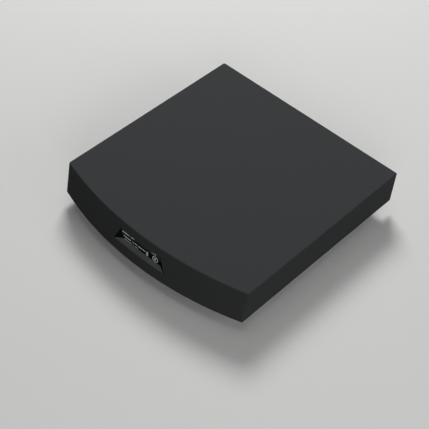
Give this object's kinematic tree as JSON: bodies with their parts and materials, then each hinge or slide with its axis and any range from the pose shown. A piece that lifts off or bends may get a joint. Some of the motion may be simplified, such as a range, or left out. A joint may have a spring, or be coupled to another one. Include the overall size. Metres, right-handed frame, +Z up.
{
  "type": "network music streamer",
  "caption": "Low square music streamer with a bowed front, a scooped display recess, an inset plinth on rubber feet and connectors set back under the rear overhang.",
  "frame": {"origin": "on the table, under the middle of the whole object", "axes": "+X to the right seen from the front, -Y towards the bowed front, +Z up"},
  "size_m": [0.206, 0.223, 0.045],
  "materials": {
    "charcoal_shell": "fine matt charcoal",
    "smoked_window": "smoked, satin front",
    "display_glass": "black display glass",
    "receiver_resin": "dark infrared resin",
    "black_board": "black solder resist",
    "green_board": "green solder resist",
    "zinc_steel": "zinc plated",
    "ivory_plastic": "ivory nylon",
    "white_ribbon": "white flat cable",
    "dark_plinth": "matt black",
    "plated_steel": "plated sheet steel",
    "black_sheet": "black powder coat",
    "black_plastic": "black moulded plastic",
    "rocker_plastic": "semi-gloss black",
    "nickel": "bright nickel plate",
    "light_window": "tinted light window",
    "gold_plate": "gold flash",
    "shutter_plastic": "black moulded plastic",
    "clear_lens": "red clear lens",
    "white_insulator": "white nylon",
    "red_insulator": "red nylon",
    "button_plastic": "black moulded plastic",
    "chip_resin": "moulding compound",
    "anodised_fins": "anodised extrusion",
    "aerial_film": "flexible circuit film",
    "grey_lead": "thin grey sheath",
    "clear_sheet": "insulating film",
    "ferrite": "dark sintered ferrite",
    "winding_tape": "yellow film tape",
    "capacitor_sleeve": "shrunk sleeve",
    "fuse_shell": "moulded can",
    "lead_cover": "flat lead cover",
    "foot_rubber": "matt rubber"
  },
  "bodies": {
    "streamer": {"casing": "charcoal_shell", "display_window": "smoked_window", "oled_panel": "display_glass", "ir_receiver": "receiver_resin", "display_board": "black_board", "display_screws": "zinc_steel", "ribbon_sockets": "ivory_plastic", "display_ribbon": "white_ribbon", "plinth": "dark_plinth", "casing_screws": "zinc_steel", "chassis_tray": "plated_steel", "rear_panel": "black_sheet", "mains_inlet": "black_plastic", "inlet_pins": "nickel", "rocker_frame": "black_plastic", "ethernet_jack": "black_plastic", "ethernet_lights": "light_window", "ethernet_contacts": "gold_plate", "usb_shell": "nickel", "usb_tongue": "black_plastic", "optical_housing": "black_plastic", "optical_emitter": "clear_lens", "line_block": "black_plastic", "line_left_sleeve": "gold_plate", "line_right_sleeve": "gold_plate", "line_left_insulator": "white_insulator", "line_right_insulator": "red_insulator", "phono_contacts": "gold_plate", "setup_switch": "black_plastic", "main_board": "black_board", "processor": "chip_resin", "heatsink": "anodised_fins", "network_board": "green_board", "shield_can": "nickel", "wifi_antenna": "aerial_film", "antenna_lead": "grey_lead", "supply_board": "green_board", "insulation_sheet": "clear_sheet", "transformer_core": "ferrite", "transformer_bobbin": "winding_tape", "reservoir_capacitors": "capacitor_sleeve", "mains_fuse": "fuse_shell", "supply_plugs": "ivory_plastic", "supply_lead": "lead_cover", "board_standoffs": "plated_steel", "board_screws": "zinc_steel", "foot_front_left": "foot_rubber", "foot_front_right": "foot_rubber", "foot_rear_left": "foot_rubber", "foot_rear_right": "foot_rubber"},
    "rocker": {"power_rocker": "rocker_plastic"},
    "button": {"setup_button": "button_plastic"},
    "shutter": {"optical_shutter": "shutter_plastic"}
  },
  "joints": [
    {"name": "rocker_hinge", "type": "hinge", "parent": "streamer", "child": "rocker", "pos_m": [-0.06124, 0.0995, 0.0318], "axis": [-1, 0, 0], "range_deg": [0, 20]},
    {"name": "button_slide", "type": "slide", "parent": "streamer", "child": "button", "axis": [0, -1, 0], "range_m": [0, 0.0008], "stiffness_N_per_m": 300},
    {"name": "shutter_hinge", "type": "hinge", "parent": "streamer", "child": "shutter", "pos_m": [0.03614, 0.09975, 0.0298], "axis": [-1, 0, 0], "range_deg": [0, 85], "stiffness_Nm_per_rad": 0.0005}
  ]
}
